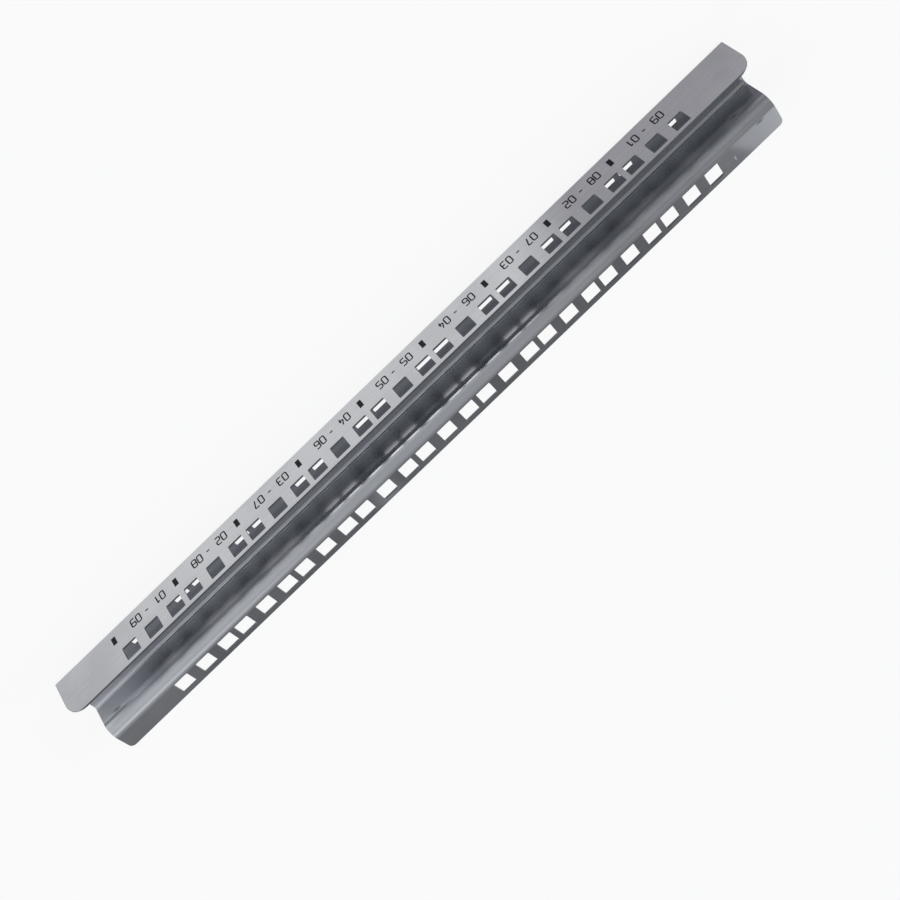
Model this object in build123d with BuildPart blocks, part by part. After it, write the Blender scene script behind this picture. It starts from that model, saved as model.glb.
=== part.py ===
"""Rack mounting rail, nine rack units high, bent from one strip of zinc plated sheet steel.

The rail lies on its web. X runs along the rail, Z is up, and the origin is the middle of the
web's outer face between the ends, level with the floor. All sizes are in millimetres.

The section has four flats. The front flange carries the unit numbers and stands at the front,
the web lies on the floor, the riser stands at the back of the channel, and the back flange turns
outwards from the top of the riser.
"""

import os

from build123d import *

# sheet and bends
sheet = 1.2                 # thickness of the strip
front_bend_inside = 1.3     # inside radius between the front flange and the web
riser_bend_inside = 2.5     # inside radius between the web and the riser
back_bend_inside = 5.8      # inside radius between the riser and the back flange

# outside sizes of the section
front_height = 29.0         # floor to the free edge of the front flange
web_width = 33.5            # outer face of the front flange to outer face of the riser
riser_height = 23.0         # floor to the top of the back flange
back_reach = 18.5           # outer face of the riser to the free edge of the back flange

# rack units
units = 9                   # rack units the rail carries
unit_height = 44.45         # height of one rack unit
first_hole = 6.35           # start of a unit to its first hole, and its last hole to its end
middle_hole = 22.225        # start of a unit to its middle hole
end_margin = 39.975         # last unit boundary to the end of the rail

# square holes
front_hole = 9.5            # side of the holes in the front flange
front_hole_in = 7.0         # free edge of the front flange to the centres of its holes
back_hole = 9.5             # side of the holes in the back flange
back_hole_in = 7.5          # free edge of the back flange to the centres of its holes
web_hole = 9.5              # side of the holes in the web
web_hole_in = 15.0          # outer face of the front flange to the centres of the web holes
web_hole_pair = 12.7        # spacing of the two web holes at each unit boundary
web_end_hole = 13.75        # end of the rail to the centre of its last web hole
hole_corner = 0.5           # corner radius of every square hole

# corners of the flanges
front_corner = 10.0         # corner radius of the front flange
back_corner = 3.0           # corner radius of the back flange

# sizes that follow
length = units * unit_height + 2 * end_margin
start = -units * unit_height / 2
front_face = -web_width / 2
riser_face = web_width / 2
back_edge = riser_face + back_reach

# places along the rail of the holes in both flanges, three to a unit
flange_places = []
for number in range(units):
    bottom = start + number * unit_height
    flange_places.append(bottom + first_hole)
    flange_places.append(bottom + middle_hole)
    flange_places.append(bottom + unit_height - first_hole)

# places along the rail of the web holes, a pair about each inner boundary and two near each end
web_places = []
for number in range(1, units):
    boundary = start + number * unit_height
    web_places.append(boundary - web_hole_pair / 2)
    web_places.append(boundary + web_hole_pair / 2)
web_places.append(start + web_hole_pair / 2)
web_places.append(-start - web_hole_pair / 2)
web_places.append(-length / 2 + web_end_hole)
web_places.append(length / 2 - web_end_hole)

with BuildPart() as mounting_rail:
    # one strip in section, drawn along the face that is outside at the front and at the floor
    with BuildSketch(Plane.YZ) as section:
        with BuildLine() as outline:
            FilletPolyline(
                (front_face, front_height),
                (front_face, 0),
                (riser_face, 0),
                (riser_face, riser_height - sheet),
                (back_edge, riser_height - sheet),
                radius=[front_bend_inside + sheet, riser_bend_inside + sheet, back_bend_inside],
            )
            offset(amount=sheet, side=Side.LEFT)
        make_face()
    extrude(amount=length / 2, both=True)

    # the front flange ends in wide round corners, the back flange in small ones
    front_corners = mounting_rail.edges().filter_by(Axis.Y).group_by(Axis.Z)[-1]
    fillet(front_corners, radius=front_corner)
    back_corners = mounting_rail.edges().filter_by(Axis.Z).group_by(Axis.Y)[-1]
    fillet(back_corners, radius=back_corner)

    # square holes of the front flange
    with BuildSketch(Plane.XZ.offset(-front_face)):
        with Locations(*[(place, front_height - front_hole_in) for place in flange_places]):
            RectangleRounded(front_hole, front_hole, hole_corner)
    extrude(amount=sheet, both=True, mode=Mode.SUBTRACT)

    # square holes of the back flange
    with BuildSketch(Plane.XY.offset(riser_height - sheet / 2)):
        with Locations(*[(place, back_edge - back_hole_in) for place in flange_places]):
            RectangleRounded(back_hole, back_hole, hole_corner)
    extrude(amount=sheet, both=True, mode=Mode.SUBTRACT)

    # square holes of the web
    with BuildSketch(Plane.XY.offset(sheet / 2)):
        with Locations(*[(place, front_face + web_hole_in) for place in web_places]):
            RectangleRounded(web_hole, web_hole, hole_corner)
    extrude(amount=sheet, both=True, mode=Mode.SUBTRACT)

mounting_rail.part.label = "mounting_rail"

os.makedirs("parts", exist_ok=True)
export_step(mounting_rail.part, "parts/mounting_rail.step")
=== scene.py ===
"""Rack mounting rail of zinc plated sheet steel, lying on its web on a pale studio floor."""

import bmesh
import bpy
from mathutils import Matrix, Vector


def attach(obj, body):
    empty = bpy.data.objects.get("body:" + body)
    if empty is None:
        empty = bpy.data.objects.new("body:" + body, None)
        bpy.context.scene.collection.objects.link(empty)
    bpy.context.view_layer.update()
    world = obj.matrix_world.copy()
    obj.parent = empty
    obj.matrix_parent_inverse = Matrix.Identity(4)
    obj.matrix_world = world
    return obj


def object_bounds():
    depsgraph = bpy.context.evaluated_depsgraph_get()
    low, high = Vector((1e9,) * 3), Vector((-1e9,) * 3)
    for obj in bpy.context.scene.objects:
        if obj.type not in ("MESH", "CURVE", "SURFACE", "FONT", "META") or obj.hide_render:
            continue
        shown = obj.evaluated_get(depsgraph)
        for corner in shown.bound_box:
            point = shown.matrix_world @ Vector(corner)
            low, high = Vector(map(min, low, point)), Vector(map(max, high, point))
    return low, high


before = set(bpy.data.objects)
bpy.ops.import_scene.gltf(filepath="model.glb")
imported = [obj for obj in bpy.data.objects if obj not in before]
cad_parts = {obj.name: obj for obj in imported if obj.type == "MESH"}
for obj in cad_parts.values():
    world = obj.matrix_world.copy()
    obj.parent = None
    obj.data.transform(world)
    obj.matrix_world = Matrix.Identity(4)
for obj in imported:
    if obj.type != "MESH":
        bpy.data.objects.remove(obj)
cad_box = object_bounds()

# The camera looks down at about 44 degrees on the flange that carries the unit numbers. It is
# rolled about its own axis, so that the rail runs from the lower left to the upper right and
# the bend between the numbered flange and the web is uppermost.
camera_place = Vector((-0.02826, -0.59735, 0.64174))
camera_right = Vector((-0.72062, 0.50301, 0.47716))
camera_up = Vector((-0.69222, -0.48321, -0.53603))
focal_pixels = 1666.2
picture_pixels = 900

camera_data = bpy.data.cameras.new("studio_camera")
camera_data.sensor_width = 36.0
camera_data.lens = focal_pixels / picture_pixels * camera_data.sensor_width
camera_data.clip_start = 0.01
camera_data.clip_end = 50.0
camera = bpy.data.objects.new("studio_camera", camera_data)
turn = Matrix((camera_right, camera_up, camera_right.cross(camera_up))).transposed().to_4x4()
camera.matrix_world = Matrix.Translation(camera_place) @ turn
bpy.context.scene.collection.objects.link(camera)
bpy.context.scene.camera = camera

# The rail is one strip of sheet steel, punched flat, bent on a press and then plated with zinc.
# The plating is a satin grey metal, cloudy at the scale of a finger, with faint lines of the
# rolled sheet along it. Punched and sheared edges are duller than the faces; their dark colour
# is partly bare steel and partly painted shade in the holes and along the edges.
MM = 0.001


class Signal:
    """A value that varies over a surface, written in expressions that become shader nodes."""

    def __init__(self, tree, socket=None):
        self.tree = tree
        self.socket = socket

    def node(self, kind, settings=None, **inputs):
        """Adds a node of any kind. An input is named by its label, or by its number as in _0."""
        made = self.tree.nodes.new(kind)
        for name, value in (settings or {}).items():
            setattr(made, name, value)
        for name, value in inputs.items():
            key = int(name[1:]) if name.startswith("_") else name.replace("_", " ")
            if isinstance(value, Signal):
                self.tree.links.new(value.socket, made.inputs[key])
            else:
                made.inputs[key].default_value = value
        return made

    def out(self, kind, settings=None, output=0, **inputs):
        """Adds a node and gives one of its outputs."""
        return Signal(self.tree, self.node(kind, settings, **inputs).outputs[output])

    def split(self):
        """The three parts of a vector."""
        made = self.node("ShaderNodeSeparateXYZ", None, Vector=self)
        return [Signal(self.tree, part) for part in made.outputs]

    def maths(self, operation, *others):
        """One step of arithmetic, with this signal as its first value."""
        inputs = {"_%d" % (k + 1): value for k, value in enumerate(others)}
        return self.out("ShaderNodeMath", {"operation": operation}, _0=self, **inputs)

    def __add__(self, other):
        return self.maths("ADD", other)

    __radd__ = __add__

    def __mul__(self, other):
        return self.maths("MULTIPLY", other)

    __rmul__ = __mul__

    def __sub__(self, other):
        return self.maths("SUBTRACT", other)

    def __rsub__(self, other):
        return self * -1.0 + other

    def __abs__(self):
        return self.maths("ABSOLUTE")

    def least(self, other):
        return self.maths("MINIMUM", other)

    def most(self, other):
        return self.maths("MAXIMUM", other)

    def fade(self, low, high):
        """0 at low, 1 at high, and smooth between them."""
        inputs = {"Value": self, "From_Min": low, "From_Max": high}
        return self.out("ShaderNodeMapRange", {"interpolation_type": "SMOOTHSTEP"}, **inputs)

    def fall(self, low, high):
        """1 at low, 0 at high, and smooth between them."""
        return 1.0 - self.fade(low, high)

    def band(self, low, full, leave, end):
        """0 below low, 1 from full to leave, and 0 again past end."""
        return self.fade(low, full) * self.fall(leave, end)

    def noise(self, scale, detail, roughness):
        """Cloudy noise, 0 to 1, with this signal as its place."""
        inputs = {"Vector": self, "Scale": scale, "Detail": detail, "Roughness": roughness}
        return self.out("ShaderNodeTexNoise", None, **inputs)

    def stretched(self, along, across):
        """This place with its scale along the rail and across it set apart."""
        return self.out("ShaderNodeMapping", None, Vector=self, Scale=(along, across, across))

    def blend(self, first, second):
        """A colour between two others, with this signal as the share of the second."""
        return self.out("ShaderNodeMix", {"data_type": "RGBA"}, 2, _0=self, _6=first, _7=second)


def new_material(name):
    """An empty material, and the signal that its expressions start from."""
    made = bpy.data.materials.new(name)
    made.use_nodes = True
    made.node_tree.nodes.clear()
    return made, Signal(made.node_tree)


def in_millimetres(place):
    """The three parts of a place, in millimetres."""
    return [part * (1.0 / MM) for part in place.split()]


def spot(place, centre, reach):
    """1 at a point of the rail and 0 past its reach, both in millimetres."""
    offset = [value * MM for value in centre]
    moved = place.out("ShaderNodeVectorMath", {"operation": "SUBTRACT"}, _0=place, _1=offset)
    size = [1.0 / (value * MM) for value in reach]
    scaled = place.out("ShaderNodeVectorMath", {"operation": "MULTIPLY"}, _0=moved, _1=size)
    away = place.out("ShaderNodeVectorMath", {"operation": "LENGTH"}, "Value", _0=scaled)
    return away.fall(0.0, 1.0)


zinc, start = new_material("zinc_plated_steel")
place = start.out("ShaderNodeTexCoord", None, "Object")
facing = start.out("ShaderNodeTexCoord", None, "Normal")
x, y, z = in_millimetres(place)
facing_x, facing_y, facing_z = [abs(part) for part in facing.split()]

clouds = place.noise(24.0, 4.0, 0.55)
blotches = place.noise(85.0, 3.0, 0.6)
rolled = place.stretched(5.0, 700.0).noise(1.0, 3.0, 0.65)
sheared = place.stretched(900.0, 60.0).noise(1.0, 2.0, 0.6)
grain = place.noise(1400.0, 2.0, 0.6)

light_zinc = (0.560, 0.570, 0.590, 1.0)
dull_zinc = (0.475, 0.487, 0.510, 1.0)
# Painted shade colour, for the channel and the ends of the ridge.
painted_shade_zinc = (0.415, 0.430, 0.455, 1.0)
# Painted highlight colour.
painted_highlight_zinc = (0.800, 0.815, 0.840, 1.0)
# Bare cut steel, darkened further as painted shade.
bare_cut_and_shade = (0.200, 0.210, 0.225, 1.0)
cloudy = (clouds * 0.6 + rolled * 0.25 + blotches * 0.15).fade(0.36, 0.64)
tint = cloudy.blend(dull_zinc, light_zinc)

# A face of the sheet's thickness is one that its own flange doesn't face: the ends and the
# sides of the holes, and the long free edges of the two flanges.
sheet_thick = 1.2
channel_half = 15.55
flange_under = 21.8
flange_top = 23.0
front = y.fall(-channel_half + 0.05, -channel_half + 0.15) * z.fade(3.0, 3.5)
back_flange = z.fade(flange_under - 0.10, flange_under - 0.05)
web = z.fall(sheet_thick + 0.05, sheet_thick + 0.10)
cut = facing_x.fade(0.4, 0.6)
cut = cut.most(front * facing_z.fade(0.7, 0.8))
cut = cut.most(back_flange.most(web) * (1.0 - front) * facing_y.fade(0.97, 0.99)
               * y.fade(-10.0, -9.9))

# The channel is painted darker, as shade in its recess, except on a band of the web. Painted
# highlights run along the bend at the riser's foot and over the round bend of the back flange,
# its ridge, stronger towards the +X end. The ridge is rougher towards both ends, and painted
# darker as shade near them. A strip of the web by the riser has a painted highlight.
channel = (abs(y).fall(channel_half + 0.05, channel_half + 0.10)
           * z.fade(sheet_thick - 0.10, sheet_thick - 0.05))
# Painted highlight masks: the riser's foot, the ridge, and a strip of the web.
foot = y.fade(14.2, 14.8) * z.band(1.6, 2.0, 3.2, 4.2) * channel
ridge = y.band(15.45, 15.55, 21.0, 23.5) * z.fade(12.5, 16.0)
ridge = ridge * (x.fade(-150.0, -70.0) * 0.7 + 0.3)
ridge_soft = abs(x).fade(60.0, 115.0) * y.band(15.3, 15.4, 17.5, 19.5) * z.fade(11.0, 14.0)
# Painted shade near both ends of the ridge.
ridge_end_shade = abs(x).fade(214.0, 228.0) * y.fade(15.3, 15.4) * z.band(14.8, 15.4, 16.5, 17.5)
strip = y.fade(4.5, 8.0) * z.fall(2.0, 2.6)
web_strip_highlight = (x.fall(185.0, 215.0) * y.band(9.0, 11.0, 12.8, 13.4) * z.fall(1.30, 1.45)
               * channel)

# Towards the ends: at the +X end the channel is duller, and its riser is painted paler as a
# highlight, out of the channel's painted shade; at both ends the top of the back flange has a
# painted highlight.
flange_face = y.fade(15.0, 16.0) * z.fade(flange_top - 0.15, flange_top - 0.05)
channel_end = x.fade(188.0, 232.0) * channel
# Painted highlights at the ends of the riser and of the back flange.
riser_end_highlight = channel_end * z.fade(2.0, 3.0)
plus_end_flange_highlight = x.fade(165.0, 205.0) * flange_face
minus_end_flange_highlight = (x + y * 0.7).fall(-198.0, -190.0) * flange_face

# Painted shade over the channel, and painted highlights on the bends, a web strip and the ends.
painted_channel_shade = channel * (1.0 - ridge) * (1.0 - strip) * (1.0 - riser_end_highlight)
painted_highlights = foot * 0.95 + ridge * 0.75 + web_strip_highlight * 0.5
painted_highlights = painted_highlights + riser_end_highlight * 0.5 + plus_end_flange_highlight * 0.7 + minus_end_flange_highlight * 0.9
tint = painted_channel_shade.blend(tint, painted_shade_zinc)
tint = painted_highlights.least(1.0).blend(tint, painted_highlight_zinc)
# Painted shade near both ends of the ridge.
tint = (ridge_end_shade * 0.9).blend(tint, painted_shade_zinc)
# Cut faces take a dark colour: duller bare steel, and painted shade in the holes and on the
# edges.
tint = cut.blend(tint, bare_cut_and_shade)

# Handling has left a few marks: two dark smudges in the channel, one on the back flange's bend,
# a bright scratch beside it, and a pale bloom about the middle of the back flange.
dark_mark = (0.10, 0.10, 0.10, 1.0)
bright_mark = (0.95, 0.95, 0.95, 1.0)
smudges = (spot(place, (229.5, 15.5, 13.6), (4.0, 1.1, 1.6))
           + spot(place, (-221.5, 15.5, 14.2), (5.0, 1.1, 1.4))
           + spot(place, (-229.0, 22.6, flange_top), (4.0, 1.6, 1.1)))
scratch = spot(place, (-208.0, 29.8, flange_top), (0.7, 2.6, 1.1))
bloom = spot(place, (47.0, 29.0, flange_top), (14.0, 16.0, 3.0))
tint = (smudges * 0.6).least(0.6).blend(tint, dark_mark)
tint = (scratch * 0.9).blend(tint, bright_mark)

roughness = clouds * 0.10 + blotches * 0.05 + rolled * 0.04 + 0.10
roughness = roughness + cut * (sheared * 0.20 + 0.12)
roughness = roughness + channel_end * 0.32 + ridge_soft * 0.22 + bloom * 0.20 + scratch * 0.30
height = rolled * 0.35 + grain * 0.10 + blotches * 0.8 + cut * sheared * 2.0
bumped = start.out("ShaderNodeBump", None, Height=height, Strength=0.06, Distance=0.0002)
surface = start.out("ShaderNodeBsdfPrincipled", None, Metallic=1.0, Base_Color=tint,
                    Roughness=roughness, Normal=bumped)
start.node("ShaderNodeOutputMaterial", None, Surface=surface)

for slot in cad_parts["mounting_rail"].material_slots:
    slot.material = zinc

# Unit numbers are printed in black ink on the front flange, below its holes. Each unit has its
# count from either end with a dash between them, and a solid block at its upper boundary. All
# sizes are in millimetres, and the places along the rail count from that boundary.
units = 9
unit_height = 44.45
front_face = -16.75
print_up = 8.8
digit_high = 5.1
digit_wide = 2.7
digit_step = 3.8
digit_corner = 0.9
stroke = 0.8
ink_proud = 0.02
first_digits = -36.3
second_digits = -19.0
dash_span = (-24.6, -22.7)
block_wide = 2.7
block_high = 5.2

low, middle, high = 0.0, 0.5, 1.0
digit_lines = {
    "0": [[(0, low), (1, low), (1, high), (0, high), (0, low)]],
    "1": [[(0.1, 0.78), (0.55, high), (0.55, low)]],
    "2": [[(0, high), (1, high), (1, middle), (0, middle), (0, low), (1, low)]],
    "3": [[(0, high), (1, high), (1, middle), (0.3, middle)], [(1, middle), (1, low), (0, low)]],
    "4": [[(0.55, high), (0, 0.32), (1, 0.32)], [(0.72, 0.6), (0.72, low)]],
    "5": [[(1, high), (0, high), (0, middle), (1, middle), (1, low), (0, low)]],
    "6": [[(1, high), (0, high), (0, low), (1, low), (1, middle), (0, middle)]],
    "7": [[(0, high), (1, high), (0.4, low)]],
    "8": [[(0, low), (1, low), (1, high), (0, high), (0, low)], [(0, middle), (1, middle)]],
    "9": [[(0, low), (1, low), (1, high), (0, high), (0, middle), (1, middle)]],
}


def rounded(points, radius):
    """A line through corner points, with each corner turned as an arc."""
    closed = points[0] == points[-1]
    points = [Vector(p) for p in (points[:-1] if closed else points)]
    line = []
    for number, point in enumerate(points):
        if not closed and number in (0, len(points) - 1):
            line.append(point)
            continue
        back = points[number - 1] - point
        ahead = points[(number + 1) % len(points)] - point
        reach = min(radius, back.length / 2, ahead.length / 2)
        begin = point + back.normalized() * reach
        end = point + ahead.normalized() * reach
        for share in (0.0, 0.25, 0.5, 0.75, 1.0):
            line.append(begin.lerp(point, share).lerp(point.lerp(end, share), share))
    return line, closed


def print_line(ink, line, closed, wide):
    """Lays a thin band of ink along a line on the front flange."""
    rings = []
    count = len(line)
    for number, point in enumerate(line):
        before = line[number - 1] if closed or number > 0 else point
        after = line[(number + 1) % count] if closed or number < count - 1 else point
        along = (after - before).normalized()
        side = Vector((-along.y, along.x)) * wide / 2
        ring = []
        for corner, proud in ((point - side, ink_proud), (point + side, ink_proud),
                              (point + side, -ink_proud), (point - side, -ink_proud)):
            ring.append(ink.verts.new((corner.x * MM, (front_face - proud) * MM, corner.y * MM)))
        rings.append(ring)
    pairs = list(zip(rings, rings[1:] + rings[:1])) if closed else list(zip(rings, rings[1:]))
    for one, two in pairs:
        for near in range(4):
            far = (near + 1) % 4
            ink.faces.new((one[near], two[near], two[far], one[far]))
    if not closed:
        ink.faces.new(rings[0])
        ink.faces.new(rings[-1][::-1])


def print_number(ink, text, left):
    """Prints a row of digits from its left end."""
    for number, digit in enumerate(text):
        for points in digit_lines[digit]:
            spread = []
            for across, up in points:
                spread.append((left + number * digit_step + across * digit_wide,
                               print_up + (up - middle) * digit_high))
            line, closed = rounded(spread, digit_corner)
            print_line(ink, line, closed, stroke)


black_ink, start = new_material("black_ink")
place = start.out("ShaderNodeTexCoord", None, "Object")
full_ink = (0.006, 0.006, 0.007, 1.0)
worn_ink = (0.030, 0.030, 0.033, 1.0)
worn = place.noise(2600.0, 3.0, 0.7).fade(0.35, 0.75)
surface = start.out("ShaderNodeBsdfPrincipled", None, Base_Color=worn.blend(full_ink, worn_ink),
                    Roughness=worn * 0.2 + 0.5, Specular_IOR_Level=0.15)
start.node("ShaderNodeOutputMaterial", None, Surface=surface)

for number in range(1, units + 1):
    boundary = -units * unit_height / 2 + number * unit_height
    ink = bmesh.new()
    print_number(ink, "%02d" % (units + 1 - number), boundary + first_digits)
    print_number(ink, "%02d" % number, boundary + second_digits)
    dash = [Vector((boundary + end, print_up)) for end in dash_span]
    print_line(ink, dash, False, stroke)
    block = [Vector((boundary, print_up + side * block_high / 2)) for side in (-1, 1)]
    print_line(ink, block, False, block_wide)
    bmesh.ops.recalc_face_normals(ink, faces=ink.faces)
    mesh = bpy.data.meshes.new("unit_print_%d" % number)
    ink.to_mesh(mesh)
    ink.free()
    mesh.materials.append(black_ink)
    piece = bpy.data.objects.new("unit_print_%d" % number, mesh)
    bpy.context.scene.collection.objects.link(piece)
    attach(piece, "root")

# The studio floor is a wide pale sheet of paper. The camera sees it as white, with the rail's
# shadow kept. The polished metal sees it as white light at a painted level: painted shade past
# the first units and towards the +X end, a painted light patch a little off the middle, and a
# painted shadow under the web, deepest past the ends.
floor_size = 12.0
shown_white = 0.86
white_light = (1.0, 1.0, 1.0, 1.0)
paper_white = (0.86, 0.86, 0.87, 1.0)
# A violet tone for the floor's painted shade, as seen in the metal.
painted_shade_violet = (0.02, 0.00, 0.05, 1.0)
floor_material, start = new_material("studio_floor")
ray = start.node("ShaderNodeLightPath")
eye, polish, through = [Signal(start.tree, ray.outputs[name]) for name in
                        ("Is Camera Ray", "Is Glossy Ray", "Is Transmission Ray")]
along, deep, _ = in_millimetres(start.out("ShaderNodeTexCoord", None, "Object"))
# The floor's level in the metal: painted shade towards the ends, with a painted light patch.
level = 0.54 + along.fade(-135.0, -75.0) * 0.42 - along.fade(180.0, 250.0) * 0.14
level = level + abs(along + 50.0).fall(15.0, 45.0) * 0.11
# Painted shadow under the web, deeper past the ends of the rail.
painted_shadow_under_web = abs(deep - 1.0).fall(12.5, 14.5)
past_ends = abs(along).fade(238.0, 262.0)
level = level * (1.0 - painted_shadow_under_web * (past_ends * 0.30 + 0.52))
paper = start.out("ShaderNodeBsdfDiffuse", None, Color=paper_white)
white = start.out("ShaderNodeEmission", None, Color=white_light, Strength=1.0)
painted_floor_shade = start.out("ShaderNodeEmission", None, Color=painted_shade_violet, Strength=1.0)
share = eye.most(through) * shown_white
seen = start.out("ShaderNodeMixShader", None, _0=share, _1=paper, _2=white)
mirrored = start.out("ShaderNodeMixShader", None, _0=level, _1=painted_floor_shade, _2=white)
seen = start.out("ShaderNodeMixShader", None, _0=polish, _1=seen, _2=mirrored)
start.node("ShaderNodeOutputMaterial", None, Surface=seen)
bpy.ops.mesh.primitive_plane_add(size=floor_size, location=(0, 0, cad_box[0][2]))
floor = bpy.context.object
floor.name = "studio_floor"
floor.data.materials.append(floor_material)

# The room lights the rail softly from all round. Its level changes with the height over the
# horizon, from the front over the top to the back, and a little along the rail. A low panel
# stands before the rail's middle, and bright walls stand off both its ends.
room_light = (0.97, 0.99, 1.03, 1.0)
end_walls = 2.2
low_panel = 1.1
room_levels = (
    # degrees over the front horizon, level at the -X end, and steps from it: from, to, change
    (15.0, 0.02, [(-0.12, 0.00, 0.38)]),
    (40.0, 0.28, [(-0.16, 0.04, 0.12), (0.12, 0.26, 0.18)]),
    (65.0, 0.29, [(-0.16, 0.10, 0.13)]),
    (90.0, 0.36, [(0.10, 0.26, 0.45)]),
    (115.0, 0.29, []),
    (140.0, 0.75, [(-0.245, -0.200, -0.60)]),
    (165.0, 0.40, [(-0.12, 0.02, 0.60)]),
)
world = bpy.data.worlds.new("studio")
bpy.context.scene.world = world
world.use_nodes = True
world.node_tree.nodes.clear()
start = Signal(world.node_tree)
ray = start.node("ShaderNodeLightPath")
eye = Signal(start.tree, ray.outputs["Is Camera Ray"])
right, depth, up = start.out("ShaderNodeTexCoord", None, "Generated").split()
degrees = up.maths("ARCTAN2", depth * -1.0).maths("DEGREES")


def glow(angle, reach=25.0):
    """1 along a line at this angle over the front horizon, and 0 past its reach in degrees."""
    return (1.0 - abs(degrees - angle) * (1.0 / reach)).most(0.0)


level = abs(right).fade(0.55, 0.85) * end_walls
panel = abs(right - 0.05).fall(0.05, 0.16)
level = level + panel * (glow(6.0, 10.0) * low_panel + glow(15.0) * 0.20)
for angle, plain, steps in room_levels:
    here = plain
    for step_from, step_to, change in steps:
        here = right.fade(step_from, step_to) * change + here
    level = level + glow(angle) * here
room = start.out("ShaderNodeBackground", None, Color=room_light, Strength=level)
backdrop = start.out("ShaderNodeBackground", None, Color=white_light, Strength=1.0)
mixed = start.out("ShaderNodeMixShader", None, _0=eye, _1=room, _2=backdrop)
start.node("ShaderNodeOutputWorld", None, Surface=mixed)

bpy.context.scene.view_settings.view_transform = "Standard"
